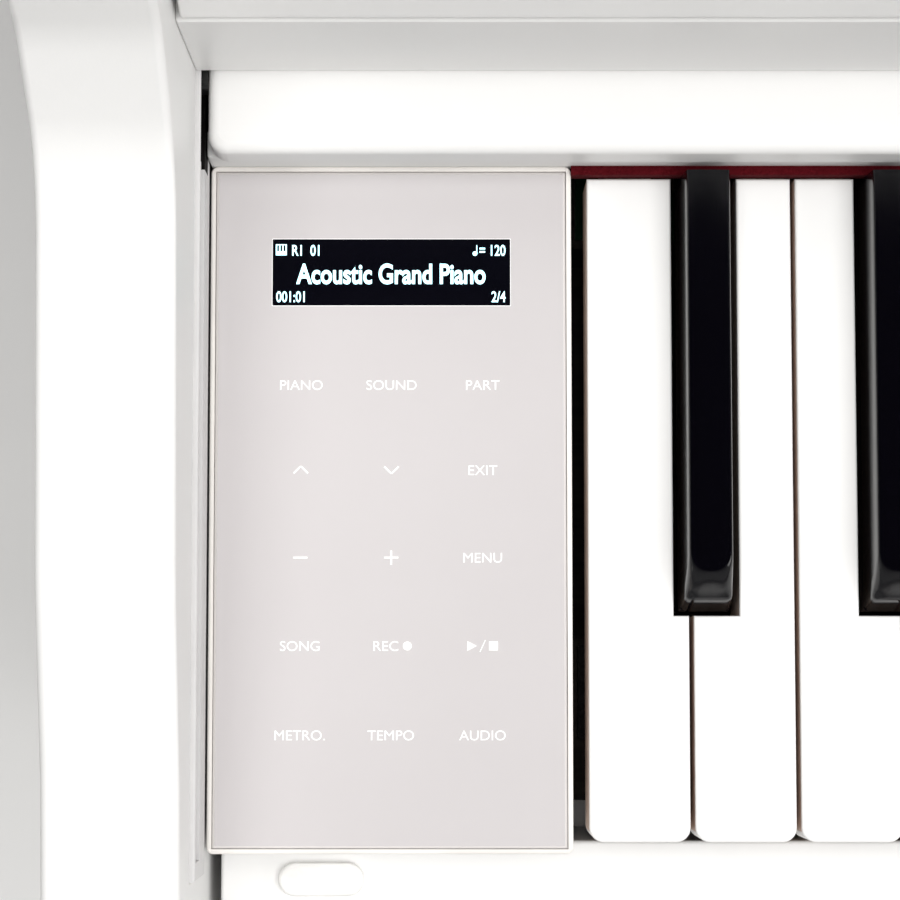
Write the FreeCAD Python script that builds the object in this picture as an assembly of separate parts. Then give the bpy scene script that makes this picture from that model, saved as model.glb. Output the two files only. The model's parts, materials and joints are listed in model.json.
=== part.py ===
import FreeCAD
import Part
import math
import os

# Cabinet-style digital piano. Every physical piece is its own solid in its own STEP file.
# Millimetres, +Z up, origin on the floor at the centre of the footprint.
# The player sits on the -Y side and the bass end is at -X.

V = FreeCAD.Vector

# ---------------------------------------------------------------- driving dimensions
WIDTH = 1450.0            # over the two side panels
DEPTH = 470.0
SIDE_T = 28.5             # side panel thickness
KEY_TOP = 745.0           # white key surface above the floor
PANEL_TOP = KEY_TOP + 2   # control panel surface
CASE_TOP = 905.0          # top of the side panels, under the lid
LID_T = 22.0
LID_FRONT = -30.0
WHITE_PITCH = 23.5
WHITE_W = 22.4
WHITES = 52
KEY_DIP = 10.0            # how far a white key's front edge goes down
KEY_FRONT = -206.0        # front edge of the white keys
KEY_HEAD = 50.0           # wide part of a white key, in front of the black keys
KEY_BACK_EDGE = -57.0     # where the key covers end, at the felt
SLIP_TOP, SLIP_BACK = KEY_TOP - 23.0, KEY_FRONT - 0.9
STICK_BACK = 150.0        # rear end of the wooden key sticks
PIVOT_Y, PIVOT_Z, PIVOT_R = 14.0, 713.0, 1.95
STICK_BOTTOM = PIVOT_Z + 2.0
STICK_TOP = KEY_TOP - 3.0
KEY_SWING = math.asin(KEY_DIP / (PIVOT_Y - KEY_FRONT))
FRONT_FELT_TOP = PIVOT_Z + 2.0 - (PIVOT_Y + 184) * math.sin(KEY_SWING) - 0.4
BLACK_W, BLACK_TOP_W, BLACK_RISE = 11.2, 9.4, 12.0
NOTCH_HALF = 7.35         # from a black key's centre line to the white keys beside it
# black key centre, measured from the line between the two white keys it stands over
BLACK_OFFSET = {"A": 3.36, "C": -2.35, "D": 2.35, "F": -3.36, "G": 0.0}
PLAYABLE_WHITES = 5       # keys built one by one at the bass end; the rest share two nodes
LEAN = math.radians(18)   # backward lean of the upper front panel
CASE_BOTTOM = 640.0       # underside of the key bed and of the arms
FOOT_TOP, FOOT_BOTTOM, FOOT_W = 62.0, 8.0, 60.0

HALF = WIDTH / 2
IN = HALF - SIDE_T        # inner face of a side panel
FRONT, BACK = -DEPTH / 2, DEPTH / 2
KEYS_HALF = WHITES * WHITE_PITCH / 2

# control panels beside the keys
CHEEK_IN, CHEEK_OUT = KEYS_HALF + 3.1, IN - 1.5
CHEEK_FRONT, CHEEK_REAR = KEY_FRONT - 2.5, KEY_BACK_EDGE + 1.9
BEZEL = 1.1
DISPLAY = (-681.1, -627.8, -86.6, -71.6)    # x0, x1, y0, y1

# sliding key cover, in its open place
COVER_Z0, COVER_Z1 = KEY_TOP + 13.5, KEY_TOP + 24.5
COVER_FRONT, COVER_LIP_BACK, COVER_BACK = -56.3, -34.0, 128.0
COVER_END = IN - 2.6
RAIL_X0, RAIL_X1 = IN - 1.2, IN + 7.0
RAIL_Z0, RAIL_Z1 = PANEL_TOP + 0.5, COVER_Z1 + 0.5
RAIL_FRONT, RAIL_BACK = -213.0, COVER_BACK + 20
TRACK_Z0, TRACK_Z1 = COVER_Z0 + 1.5, COVER_Z1 - 1.0
TRACK_MID = (TRACK_Z0 + TRACK_Z1) / 2
SHAFT_Y, SHAFT_R = COVER_BACK + 6.0, 2.5

FASCIA_Y, FASCIA_Z0, FASCIA_Z1 = -38.6, COVER_Z1 + 1.0, KEY_TOP + 69.0

# music rest, hinged on the lid and propped at 70 degrees
REST_HALF, REST_LEN, REST_T = 360.0, 215.0, 10.0
REST_FACE = 6.0           # from the hinge plane forward to the rest's back face
REST_ANGLE = math.radians(70)
REST_Y = 2.0
LID_TOP = CASE_TOP + LID_T
REST_Z = LID_TOP + 6.0
STAY_ARM = 100.0          # rest hinge to stay hinge, and stay hinge to stay foot
STAY_X = 250.0

PEDAL_X = (-58.0, 0.0, 58.0)
PEDAL_HINGE = (118.0, 78.0)
BOX_HALF, BOX_FRONT, BOX_Z0, BOX_Z1 = 120.0, 62.0, 40.0, 150.0
KICK_FRONT, KICK_BACK, KICK_Z0 = 150.0, 168.0, 66.0

WOOFER_X, WOOFER_Z, WOOFER_R = 430.0, 470.0, 76.0
POWER_Y, VOLUME_Y = -82.0, -142.0
JACK_PLATE = (-150.0, 150.0, 700.0, 745.0)  # x0, x1, z0, z1 on the back panel
HEADPHONE_X, JACK_R = (-656.0, -626.0), 3.25

OUT = "parts"


# ---------------------------------------------------------------- small helpers
def box(x0, x1, y0, y1, z0, z1):
    return Part.makeBox(x1 - x0, y1 - y0, z1 - z0, V(x0, y0, z0))


def rounded(shape, radius, keep):
    """Fillet the edges of shape for which keep(edge centre, edge) is true."""
    edges = [e for e in shape.Edges if keep(e.CenterOfMass, e)]
    return shape.makeFillet(radius, edges) if edges else shape


def along(edge, axis):
    """True where a straight edge runs along one row axis."""
    d = edge.Vertexes[-1].Point - edge.Vertexes[0].Point
    return d.Length > 1e-6 and abs(abs(getattr(d, axis)) - d.Length) < 1e-4


def near(a, b):
    return abs(a - b) < 1e-3


def cylinder(radius, length, at, direction):
    return Part.makeCylinder(radius, length, V(*at), V(*direction))


def outline_face(points, x0):
    """A face in the plane x = x0 from (y, z, radius) corners, each rounded by its radius."""
    count = len(points)
    at = [V(x0, p[0], p[1]) for p in points]
    corners = []
    for i in range(count):
        radius = points[i][2] if len(points[i]) > 2 else 0
        if not radius:
            corners.append((at[i], None, at[i]))
            continue
        a = (at[i - 1] - at[i]).normalize()
        b = (at[(i + 1) % count] - at[i]).normalize()
        half = a.getAngle(b) / 2
        reach = radius / math.tan(half)
        inward = (a + b).normalize()
        middle = at[i] + inward * (radius / math.sin(half) - radius)
        corners.append((at[i] + a * reach, middle, at[i] + b * reach))
    edges = []
    for i in range(count):
        start, middle, end = corners[i]
        if middle is not None:
            edges.append(Part.Arc(start, middle, end).toShape())
        following = corners[(i + 1) % count][0]
        if (following - end).Length > 1e-6:
            edges.append(Part.LineSegment(end, following).toShape())
    return Part.Face(Part.Wire(edges))


def extrude_x(points, x0, x1):
    return outline_face(points, x0).extrude(V(x1 - x0, 0, 0))


def pill(length, width, height, at):
    """A rounded slot shape standing on at, its centre, with its length along X."""
    x, y, z = at
    r = width / 2
    middle = box(x - length / 2 + r, x + length / 2 - r, y - r, y + r, z, z + height)
    ends = [cylinder(r, height, (x + s * (length / 2 - r), y, z), (0, 0, 1)) for s in (-1, 1)]
    return middle.fuse(ends).removeSplitter()


def mirrored(shape):
    return shape.mirror(V(0, 0, 0), V(1, 0, 0))


def save(name, *solids):
    shape = solids[0] if len(solids) == 1 else Part.Compound(list(solids))
    if not shape.isValid():
        raise ValueError(name + " is not valid")
    for solid in shape.Solids:
        if solid.Volume <= 0:
            raise ValueError(name + " has a solid with no volume")
    shape.exportStep(os.path.join(OUT, name + ".step"))


# ---------------------------------------------------------------- cabinet
def side_panel():
    """Left side panel: a back upright that carries an arm, its top rising in a curve."""
    outline = [
        (BACK, FOOT_TOP), (BACK, CASE_TOP), (-24, CASE_TOP), (-47, 838, 30), (-68, 810, 30),
        (-152, 804.5, 60), (-190, 793.5, 60), (FRONT, 789, 10), (FRONT, CASE_BOTTOM, 12),
        (60, CASE_BOTTOM, 20), (60, FOOT_TOP),
    ]
    panel = extrude_x(outline, -HALF, -IN)
    panel = rounded(panel, 1.8, lambda c, e: not along(e, "x") and c.y < 30 and c.z > 700)
    return panel.cut(box(-RAIL_X1, -IN + 1, RAIL_FRONT, RAIL_BACK, RAIL_Z0, RAIL_Z1))


def guide_rail():
    """Left cover guide: a channel let into the side panel, open towards the keys."""
    wall = 1.5
    rail = box(-RAIL_X1, -RAIL_X0, RAIL_FRONT, RAIL_BACK, RAIL_Z0, RAIL_Z1)
    rail = rounded(rail, 0.6, lambda c, e: near(c.x, -RAIL_X0))
    track = box(-RAIL_X1 + wall, -RAIL_X0 + 1, RAIL_FRONT + 4, RAIL_BACK - 4, TRACK_Z0, TRACK_Z1)
    return rail.cut(track)


def foot():
    block = box(-HALF, -HALF + FOOT_W, FRONT, BACK, FOOT_BOTTOM, FOOT_TOP)
    block = rounded(block, 10, lambda c, e: along(e, "z") and c.y < 0)
    return rounded(block, 3, lambda c, e: near(c.z, FOOT_TOP) and c.y < 55)


def glides():
    pads = []
    for sx in (-1, 1):
        for y in (FRONT + 30, BACK - 30):
            pad = cylinder(16, FOOT_BOTTOM, (sx * (HALF - FOOT_W / 2), y, 0), (0, 0, 1))
            pads.append(rounded(pad, 1.5, lambda c, e: near(c.z, 0)))
    return pads


def front_leg():
    """A square leg that tapers towards the foot."""
    top, bottom, x_out = 46.0, 34.0, -HALF + 2
    y_mid = -192.0
    def square(size, z):
        x0, y0 = x_out + (top - size) / 2, y_mid - size / 2
        pts = [V(x0, y0, z), V(x0 + size, y0, z), V(x0 + size, y0 + size, z), V(x0, y0 + size, z)]
        return Part.makePolygon(pts + pts[:1])
    shaft = Part.makeLoft([square(top, CASE_BOTTOM - 34), square(bottom, FOOT_TOP)], True)
    cap = box(x_out, x_out + top, y_mid - top / 2, y_mid + top / 2, CASE_BOTTOM - 30, CASE_BOTTOM)
    neck = box(x_out + 3, x_out + top - 3, y_mid - top / 2 + 3, y_mid + top / 2 - 3,
               CASE_BOTTOM - 34, CASE_BOTTOM - 30)
    leg = shaft.fuse([neck, cap]).removeSplitter()
    return rounded(leg, 3, lambda c, e: c.z < CASE_BOTTOM - 40 and c.z > FOOT_TOP + 1 and not near(
        e.Vertexes[0].Z, e.Vertexes[-1].Z))


def key_bed():
    return box(-IN, IN, SLIP_BACK, BACK - 12, CASE_BOTTOM, CASE_BOTTOM + 20)


def key_slip():
    slip = box(-IN + 2.7, IN - 2.7, FRONT + 4, SLIP_BACK, CASE_BOTTOM, SLIP_TOP)
    return rounded(slip, 3, lambda c, e: along(e, "x") and c.y < FRONT + 6)


def slip_bumpers():
    """Soft pads on the key slip that the closed cover's front edge comes down on."""
    pads = []
    for x in (-670.7, 670.7):
        pad = pill(19.5, 7.6, 3.0, (x, -215.6, SLIP_TOP))
        pads.append(rounded(pad, 1.0, lambda c, e: near(c.z, SLIP_TOP + 3)))
    return pads


def cheek_block():
    """Wooden block at the bass end of the keys, with a pocket for the electronics."""
    top = PANEL_TOP - 2.6
    block = box(-CHEEK_OUT, -CHEEK_IN, CHEEK_FRONT, CHEEK_REAR, CASE_BOTTOM + 20, PANEL_TOP - 5)
    rim = box(-CHEEK_OUT + BEZEL, -CHEEK_IN - BEZEL, CHEEK_FRONT + BEZEL, CHEEK_REAR - BEZEL,
              PANEL_TOP - 5, top)
    block = block.fuse(rim).removeSplitter()
    slip_room = box(-CHEEK_OUT - 1, -CHEEK_IN + 1, CHEEK_FRONT - 1, SLIP_BACK + 0.3,
                    CASE_BOTTOM, SLIP_TOP + 0.3)
    pocket = box(-CHEEK_OUT + 6, -CHEEK_IN - 6, CHEEK_FRONT + 8, CHEEK_REAR - 6, PANEL_TOP - 15, top)
    return block.cut(slip_room).cut(pocket)


def cheek_bezel():
    """The thin raised frame round the panel."""
    ring = box(-CHEEK_OUT, -CHEEK_IN, CHEEK_FRONT, CHEEK_REAR, PANEL_TOP - 5, PANEL_TOP)
    ring = rounded(ring, 1.5, lambda c, e: along(e, "z"))
    ring = rounded(ring, 0.5, lambda c, e: near(c.z, PANEL_TOP))
    inner = box(-CHEEK_OUT + BEZEL, -CHEEK_IN - BEZEL, CHEEK_FRONT + BEZEL, CHEEK_REAR - BEZEL,
                PANEL_TOP - 6, PANEL_TOP + 1)
    return ring.cut(inner)


def touch_glass():
    gap = 0.12
    glass = box(-CHEEK_OUT + BEZEL + gap, -CHEEK_IN - BEZEL - gap,
                CHEEK_FRONT + BEZEL + gap, CHEEK_REAR - BEZEL - gap, PANEL_TOP - 2.6, PANEL_TOP - 0.2)
    return rounded(glass, 0.6, lambda c, e: near(c.z, PANEL_TOP - 0.2))


def display_module():
    x0, x1, y0, y1 = DISPLAY
    return box(x0 - 2, x1 + 2, y0 - 2, y1 + 2, PANEL_TOP - 5.6, PANEL_TOP - 2.6)


def touch_sensor_board():
    """Board with the touch electrodes, bonded under the glass."""
    return box(-CHEEK_OUT + 7, -CHEEK_IN - 7, CHEEK_FRONT + 9, DISPLAY[2] - 4,
               PANEL_TOP - 4.2, PANEL_TOP - 2.6)


def right_panel_plate():
    """Glossy plate in the treble cheek, with openings for the power button and volume knob."""
    gap = 0.12
    plate = box(CHEEK_IN + BEZEL + gap, CHEEK_OUT - BEZEL - gap,
                CHEEK_FRONT + BEZEL + gap, CHEEK_REAR - BEZEL - gap, PANEL_TOP - 2.6, PANEL_TOP - 0.2)
    plate = rounded(plate, 0.6, lambda c, e: near(c.z, PANEL_TOP - 0.2))
    x = (CHEEK_IN + CHEEK_OUT) / 2
    button_hole = cylinder(8.5, 10, (x, POWER_Y, PANEL_TOP - 6), (0, 0, 1))
    slot = box(x - 2.2, x + 2.2, VOLUME_Y - 26, VOLUME_Y + 26, PANEL_TOP - 6, PANEL_TOP + 1)
    return plate.cut(button_hole).cut(slot)


def power_button():
    x = (CHEEK_IN + CHEEK_OUT) / 2
    cap = cylinder(8.2, 7.5, (x, POWER_Y, PANEL_TOP - 6.5), (0, 0, 1))
    return rounded(cap, 0.8, lambda c, e: near(c.z, PANEL_TOP + 1))


def volume_knob():
    x = (CHEEK_IN + CHEEK_OUT) / 2
    cap = box(x - 7, x + 7, VOLUME_Y - 5, VOLUME_Y + 5, PANEL_TOP + 0.2, PANEL_TOP + 6)
    cap = rounded(cap, 1.2, lambda c, e: near(c.z, PANEL_TOP + 6) or along(e, "z"))
    stem = box(x - 1.6, x + 1.6, VOLUME_Y - 3, VOLUME_Y + 3, PANEL_TOP - 7, PANEL_TOP + 1)
    return cap.fuse(stem).removeSplitter()


def fall_strip():
    """The rail behind the keys that carries the felt, from arm to arm."""
    end = RAIL_X0 - 0.3
    return box(-end, end, CHEEK_REAR, CHEEK_REAR + 6, STICK_TOP + 2, COVER_Z0 - 1)


def key_felt():
    felt = box(-CHEEK_IN, CHEEK_IN, KEY_BACK_EDGE - 0.2, CHEEK_REAR, STICK_TOP + 1, KEY_TOP + 3)
    return rounded(felt, 0.7, lambda c, e: along(e, "x") and c.y < -57)


def fascia():
    """Vertical board above the slot that the cover slides into."""
    return box(-IN, IN, FASCIA_Y, FASCIA_Y + 15, FASCIA_Z0, FASCIA_Z1)


def upper_panel():
    """Leaning front panel above the fascia, with its lower edge rounded over."""
    y0, thick = FASCIA_Y - 1.0, 12.0
    back = y0 + thick / math.cos(LEAN)
    shift = (CASE_TOP - FASCIA_Z1) * math.tan(LEAN)
    outline = [(y0, FASCIA_Z1, 3), (back, FASCIA_Z1), (back + shift, CASE_TOP), (y0 + shift, CASE_TOP)]
    return extrude_x(outline, -IN + 1.2, IN - 1.2)


def top_lid():
    lid = box(-HALF, HALF, LID_FRONT, BACK, CASE_TOP, LID_TOP)
    lid = rounded(lid, 6, lambda c, e: along(e, "z") and c.y < 0)
    return rounded(lid, 3, lambda c, e: near(c.z, LID_TOP) and c.y < BACK - 1)


def back_panel():
    panel = box(-IN, IN, BACK - 12, BACK, CASE_BOTTOM + 20, CASE_TOP)
    x0, x1, z0, z1 = JACK_PLATE
    return panel.cut(box(x0, x1, BACK - 4, BACK + 1, z0, z1))


def kick_board():
    board = box(-IN, IN, KICK_FRONT, KICK_BACK, KICK_Z0, CASE_BOTTOM)
    for sx in (-1, 1):
        board = board.cut(cylinder(WOOFER_R, 60, (sx * WOOFER_X, KICK_FRONT - 20, WOOFER_Z), (0, 1, 0)))
    return board


def woofers():
    """Basket with a cone, and a magnet behind, fixed to the back of the kick board."""
    out = []
    for sx in (-1, 1):
        at = (sx * WOOFER_X, KICK_BACK, WOOFER_Z)
        flange = cylinder(WOOFER_R + 10, 4, at, (0, 1, 0))
        basket = Part.makeCone(WOOFER_R - 2, 38, 40, V(*at), V(0, 1, 0))
        magnet = cylinder(38, 18, (at[0], KICK_BACK + 40, WOOFER_Z), (0, 1, 0))
        cone = Part.makeCone(WOOFER_R - 8, 22, 32, V(at[0], KICK_BACK - 0.01, WOOFER_Z), V(0, 1, 0))
        out.append(flange.fuse([basket, magnet]).cut(cone).removeSplitter())
    return out


def woofer_grilles():
    """Cloth-covered discs pressed into the kick board's holes."""
    out = []
    for sx in (-1, 1):
        disc = cylinder(WOOFER_R, 12, (sx * WOOFER_X, KICK_FRONT - 4, WOOFER_Z), (0, 1, 0))
        disc = rounded(disc, 3, lambda c, e: near(c.y, KICK_FRONT - 4))
        out.append(disc)
    return out


# ---------------------------------------------------------------- cover and music rest
def key_cover():
    """Sliding cover: a board with a thicker rounded front rail and two bearing lugs behind."""
    rail = box(-COVER_END, COVER_END, COVER_FRONT, COVER_LIP_BACK, COVER_Z0, COVER_Z1)
    rail = rounded(rail, 4.0, lambda c, e: along(e, "z") and c.y < COVER_FRONT + 1)
    rail = rounded(rail, 2.5, lambda c, e: c.y < COVER_LIP_BACK - 1 and near(c.z, COVER_Z1))
    board = box(-COVER_END, COVER_END, COVER_LIP_BACK, COVER_BACK, COVER_Z0 + 1.5, COVER_Z1 - 1.5)
    cover = rail.fuse(board)
    for x in (-640.0, 0.0, 640.0):
        cover = cover.fuse(box(x - 8, x + 8, COVER_BACK, SHAFT_Y + 5, COVER_Z0 + 1.5, COVER_Z1 - 1.5))
    bore = cylinder(SHAFT_R + 0.05, 2 * COVER_END, (-COVER_END, SHAFT_Y, TRACK_MID), (1, 0, 0))
    return cover.cut(bore).removeSplitter()


def cover_gliders():
    """Pads on the cover's ends that run in the guide rails."""
    half = (TRACK_Z1 - TRACK_Z0) / 2 - 0.1
    out = []
    for y in (-30.0, 100.0):
        pad = box(COVER_END, IN + 4.5, y - 12, y + 12, TRACK_MID - half, TRACK_MID + half)
        pad = rounded(pad, 2.0, lambda c, e: along(e, "x"))
        out += [pad, mirrored(pad)]
    return out


def cover_roller_shaft():
    """Shaft across the cover's rear with a roller in each rail, which keeps both ends level."""
    reach = IN + 4.5
    shaft = cylinder(SHAFT_R, 2 * reach, (-reach, SHAFT_Y, TRACK_MID), (1, 0, 0))
    roller = cylinder(TRACK_MID - TRACK_Z0 - 0.05, 4, (IN + 0.5, SHAFT_Y, TRACK_MID), (1, 0, 0))
    return shaft.fuse([roller, mirrored(roller)]).removeSplitter()


def rest_point(along_mm, behind_mm):
    """(y, z) of a point up the raised music rest and behind its front face."""
    up = (math.cos(REST_ANGLE), math.sin(REST_ANGLE))
    behind = (math.sin(REST_ANGLE), -math.cos(REST_ANGLE))
    return (REST_Y + along_mm * up[0] + behind_mm * behind[0],
            REST_Z + along_mm * up[1] + behind_mm * behind[1])


def music_rest():
    """The board that music stands against, its back face clear of the folded stays."""
    back, front = -REST_FACE, -REST_FACE - REST_T
    pts = [rest_point(0, back), rest_point(0, front),
           rest_point(REST_LEN, front), rest_point(REST_LEN, back)]
    desk = extrude_x(pts, -REST_HALF, REST_HALF)
    top_z = max(p[1] for p in pts)
    desk = rounded(desk, 14, lambda c, e: c.z > top_z - 8 and near(abs(c.x), REST_HALF)
                   and e.Length < REST_T + 1)
    return rounded(desk, 1.5, lambda c, e: c.z > REST_Z + 12)


def rest_ledge():
    """Shelf along the rest's foot that music books stand on, with a raised front edge."""
    face = -REST_FACE - REST_T
    pts = [rest_point(0, face), rest_point(5, face), rest_point(5, face - 22),
           rest_point(11, face - 22) + (2,), rest_point(11, face - 27) + (2,),
           rest_point(0, face - 27) + (2,)]
    return extrude_x(pts, -REST_HALF + 20, REST_HALF - 20)


def rest_hinges():
    """Hinge pins on the rest's axis, held in low brackets on the lid."""
    out = []
    for x in (-300.0, 0.0, 300.0):
        base = box(x - 26, x + 26, REST_Y - 10, REST_Y + 10, LID_TOP, LID_TOP + 1.6)
        pin = cylinder(2.0, 52, (x - 26, REST_Y, REST_Z), (1, 0, 0))
        for sx in (-26, 22):
            base = base.fuse(box(x + sx, x + sx + 4, REST_Y - 4, REST_Y + 4, LID_TOP + 1, REST_Z + 4))
        out.append(base.fuse(pin).removeSplitter())
    return out


def rest_knuckles():
    """Barrels that turn on the hinge pins, each with a leaf screwed to the rest's back."""
    out = []
    for x in (-300.0, 0.0, 300.0):
        barrel = cylinder(4.0, 42, (x - 21, REST_Y, REST_Z), (1, 0, 0))
        leaf = extrude_x([rest_point(-3, -REST_FACE), rest_point(24, -REST_FACE),
                          rest_point(24, -REST_FACE + 1.6), rest_point(3, -REST_FACE + 1.6),
                          rest_point(3, 0), rest_point(-3, 0)], x - 21, x + 21)
        barrel = barrel.fuse(leaf).cut(cylinder(2.05, 60, (x - 30, REST_Y, REST_Z), (1, 0, 0)))
        out.append(barrel.removeSplitter())
    return out


def rest_lugs():
    """Two ears on the back of the rest for each stay, with the stay's pin between them."""
    out = []
    y, z = rest_point(STAY_ARM, 0)
    for sx in (-1, 1):
        x = sx * STAY_X
        pin = cylinder(2.0, 26, (x - 13, y, z), (1, 0, 0))
        pts = [rest_point(STAY_ARM - 9, -REST_FACE), rest_point(STAY_ARM + 9, -REST_FACE),
               rest_point(STAY_ARM + 4, 4), rest_point(STAY_ARM - 4, 4)]
        ears = [extrude_x(pts, x + a, x + a + 3) for a in (-13, 10)]
        out.append(pin.fuse(ears).removeSplitter())
    return out


def rest_stays():
    """Flat props from the rest's back down to the lid. Stay and rest are equally long from
    the prop's pin, so a stay's foot keeps to the lid however far the rest is folded."""
    out = []
    y, z = rest_point(STAY_ARM, 0)
    foot_y = REST_Y + 2 * (y - REST_Y)
    line = V(0, foot_y - y, REST_Z - z)
    side = V(0, -line.z, line.y).normalize() * 2.5
    for sx in (-1, 1):
        x = sx * STAY_X - 9
        a, b = V(x, y, z), V(x, foot_y, REST_Z)
        pts = [a + side, b + side, b - side, a - side]
        bar = Part.Face(Part.makePolygon(pts + pts[:1])).extrude(V(18, 0, 0))
        head = cylinder(4.2, 18, (x, y, z), (1, 0, 0))
        toe = cylinder(REST_Z - LID_TOP - 0.35, 18, (x, foot_y, REST_Z), (1, 0, 0))
        stay = bar.fuse([head, toe]).cut(cylinder(2.05, 40, (x - 10, y, z), (1, 0, 0)))
        out.append(stay.removeSplitter())
    return out


# ---------------------------------------------------------------- pedals
def pedal_box():
    """Housing on the kick board, open at the back, with a slot for each pedal."""
    wall = 8.0
    shell = box(-BOX_HALF, BOX_HALF, BOX_FRONT, KICK_FRONT, BOX_Z0, BOX_Z1)
    shell = rounded(shell, 6, lambda c, e: along(e, "z") and c.y < BOX_FRONT + 1)
    shell = rounded(shell, 3, lambda c, e: near(c.z, BOX_Z1) and c.y < KICK_FRONT - 1)
    shell = shell.cut(box(-BOX_HALF + wall, BOX_HALF - wall, BOX_FRONT + wall, KICK_FRONT + 1,
                          BOX_Z0 + wall, BOX_Z1 - wall))
    for x in PEDAL_X:
        shell = shell.cut(box(x - 14, x + 14, BOX_FRONT - 1, BOX_FRONT + wall + 1, 64, 96))
    return shell.cut(cylinder(6.3, 20, (0, 95, BOX_Z0 - 5), (0, 0, 1)))


def pedal(x):
    """A forged pedal: a straight shank that widens into a rounded toe."""
    y, z = PEDAL_HINGE
    shank = box(x - 9, x + 9, 40, y + 6, z - 4, z + 3.5)
    a, b = V(x - 9, 40, z - 4), V(x - 12.5, -12, z - 4)
    c, d = V(x + 12.5, -12, z - 4), V(x + 9, 40, z - 4)
    toe_edges = [Part.LineSegment(a, b).toShape(),
                 Part.Arc(b, V(x, -26, z - 4), c).toShape(),
                 Part.LineSegment(c, d).toShape(), Part.LineSegment(d, a).toShape()]
    toe = Part.Face(Part.Wire(toe_edges)).extrude(V(0, 0, 7.5))
    body = shank.fuse(toe).removeSplitter()
    body = rounded(body, 1.8, lambda c, e: near(c.z, z + 3.5) and c.y < 45)
    barrel = cylinder(8.0, 20, (x - 10, y, z), (1, 0, 0))
    return body.fuse(barrel).cut(cylinder(4.05, 40, (x - 20, y, z), (1, 0, 0))).removeSplitter()


def pedal_axle():
    """One shaft through the three pedals, held in ears at each side of the box."""
    y, z = PEDAL_HINGE
    axle = cylinder(4.0, 2 * BOX_HALF - 16, (-BOX_HALF + 8, y, z), (1, 0, 0))
    return axle


def pedal_springs():
    """Torsion coils round the axle beside each pedal, which bring it back up."""
    out = []
    y, z = PEDAL_HINGE
    for x in PEDAL_X:
        helix = Part.makeHelix(1.9, 9.5, 5.4)
        section = Part.Wire(Part.makeCircle(0.7, V(5.4, 0, 0), V(0, 1, 0)))
        coil = Part.Wire(helix).makePipeShell([section], True, True)
        coil.rotate(V(0, 0, 0), V(0, 1, 0), 90)
        coil.translate(V(x + 12, y, z))
        out.append(coil)
    return out


def height_adjuster():
    """Threaded foot under the pedal box, turned down until it meets the floor."""
    disc = cylinder(19, 9, (0, 95, 0), (0, 0, 1))
    disc = rounded(disc, 2, lambda c, e: e.Length > 60)
    return disc.fuse(cylinder(6.0, 46, (0, 95, 8), (0, 0, 1))).removeSplitter()


# ---------------------------------------------------------------- keys
def note_letter(i):
    return "ABCDEFG"[i % 7]


def white_x(i):
    return -KEYS_HALF + WHITE_PITCH * i + (WHITE_PITCH - WHITE_W) / 2


def black_x(i):
    """Centre of the black key right of white key i, or None."""
    letter = note_letter(i)
    if letter not in BLACK_OFFSET or i >= WHITES - 1:
        return None
    return -KEYS_HALF + WHITE_PITCH * (i + 1) + BLACK_OFFSET[letter]


def tail_sides(i):
    """Left and right sides of a white key's narrow part."""
    left = black_x(i - 1) if i else None
    right = black_x(i)
    t0 = left + NOTCH_HALF if left is not None else white_x(i)
    t1 = right - NOTCH_HALF if right is not None else white_x(i) + WHITE_W
    return t0, t1


def white_key(i):
    """White key: a wide head, and a tail that leaves room for the black keys beside it."""
    x0 = white_x(i)
    x1 = x0 + WHITE_W
    t0, t1 = tail_sides(i)
    head = box(x0, x1, KEY_FRONT, KEY_FRONT + KEY_HEAD, KEY_TOP - 18, KEY_TOP)
    head = rounded(head, 3.2, lambda c, e: along(e, "z") and c.y < KEY_FRONT + 1)
    tail = box(t0, t1, KEY_FRONT + KEY_HEAD, KEY_BACK_EDGE - 0.5, KEY_TOP - 18, KEY_TOP)
    s0, s1 = (t0 + t1) / 2 - 5.2, (t0 + t1) / 2 + 5.2
    stick = box(s0, s1, KEY_FRONT + 4, STICK_BACK, STICK_BOTTOM, STICK_TOP)
    key = head.fuse([tail, stick]).removeSplitter()
    return rounded(key, 0.6, lambda c, e: near(c.z, KEY_TOP))


def black_key(i):
    """Black key: tapered sides and a sloping front on a wooden stick."""
    x = black_x(i)
    y0, y1 = KEY_FRONT + KEY_HEAD + 1.2, KEY_BACK_EDGE - 0.7
    z0, z1 = KEY_TOP - 5, KEY_TOP + BLACK_RISE
    w0, w1 = BLACK_W / 2, BLACK_TOP_W / 2
    def rectangle(half, front, z):
        pts = [V(x - half, front, z), V(x + half, front, z), V(x + half, y1, z), V(x - half, y1, z)]
        return Part.makePolygon(pts + pts[:1])
    cap = Part.makeLoft([rectangle(w0, y0, z0), rectangle(w1, y0 + 4.0, z1)], True)
    cap = rounded(cap, 4.5, lambda c, e: near(c.z, z1) and c.y < y0 + 5)
    cap = rounded(cap, 0.9, lambda c, e: c.z > z1 - 4 and c.y < y1 - 0.5)
    stick = box(x - 5.0, x + 5.0, y0 + 2, STICK_BACK, STICK_BOTTOM, STICK_TOP)
    foot_part = box(x - w0, x + w0, y0, y1, STICK_BOTTOM + 10, z0)
    return cap.fuse([foot_part, stick]).removeSplitter()


def key_centres():
    """Centre line of every stick, from the bass end up."""
    centres = []
    for i in range(WHITES):
        t0, t1 = tail_sides(i)
        centres.append((t0 + t1) / 2)
        if black_x(i) is not None:
            centres.append(black_x(i))
    return centres


def save_keys():
    """The bass octave key by key, and the other keys in one node per colour."""
    octave = 0
    for i in range(PLAYABLE_WHITES):
        letter = note_letter(i)
        if letter == "C":
            octave += 1
        save("key_%s%d" % (letter, octave), white_key(i))
        if black_x(i) is not None:
            save("key_%s%d_sharp" % (letter, octave), black_key(i))
    rest = range(PLAYABLE_WHITES, WHITES)
    save("white_keys", *[white_key(i) for i in rest])
    save("black_keys", *[black_key(i) for i in rest if black_x(i) is not None])


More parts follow.
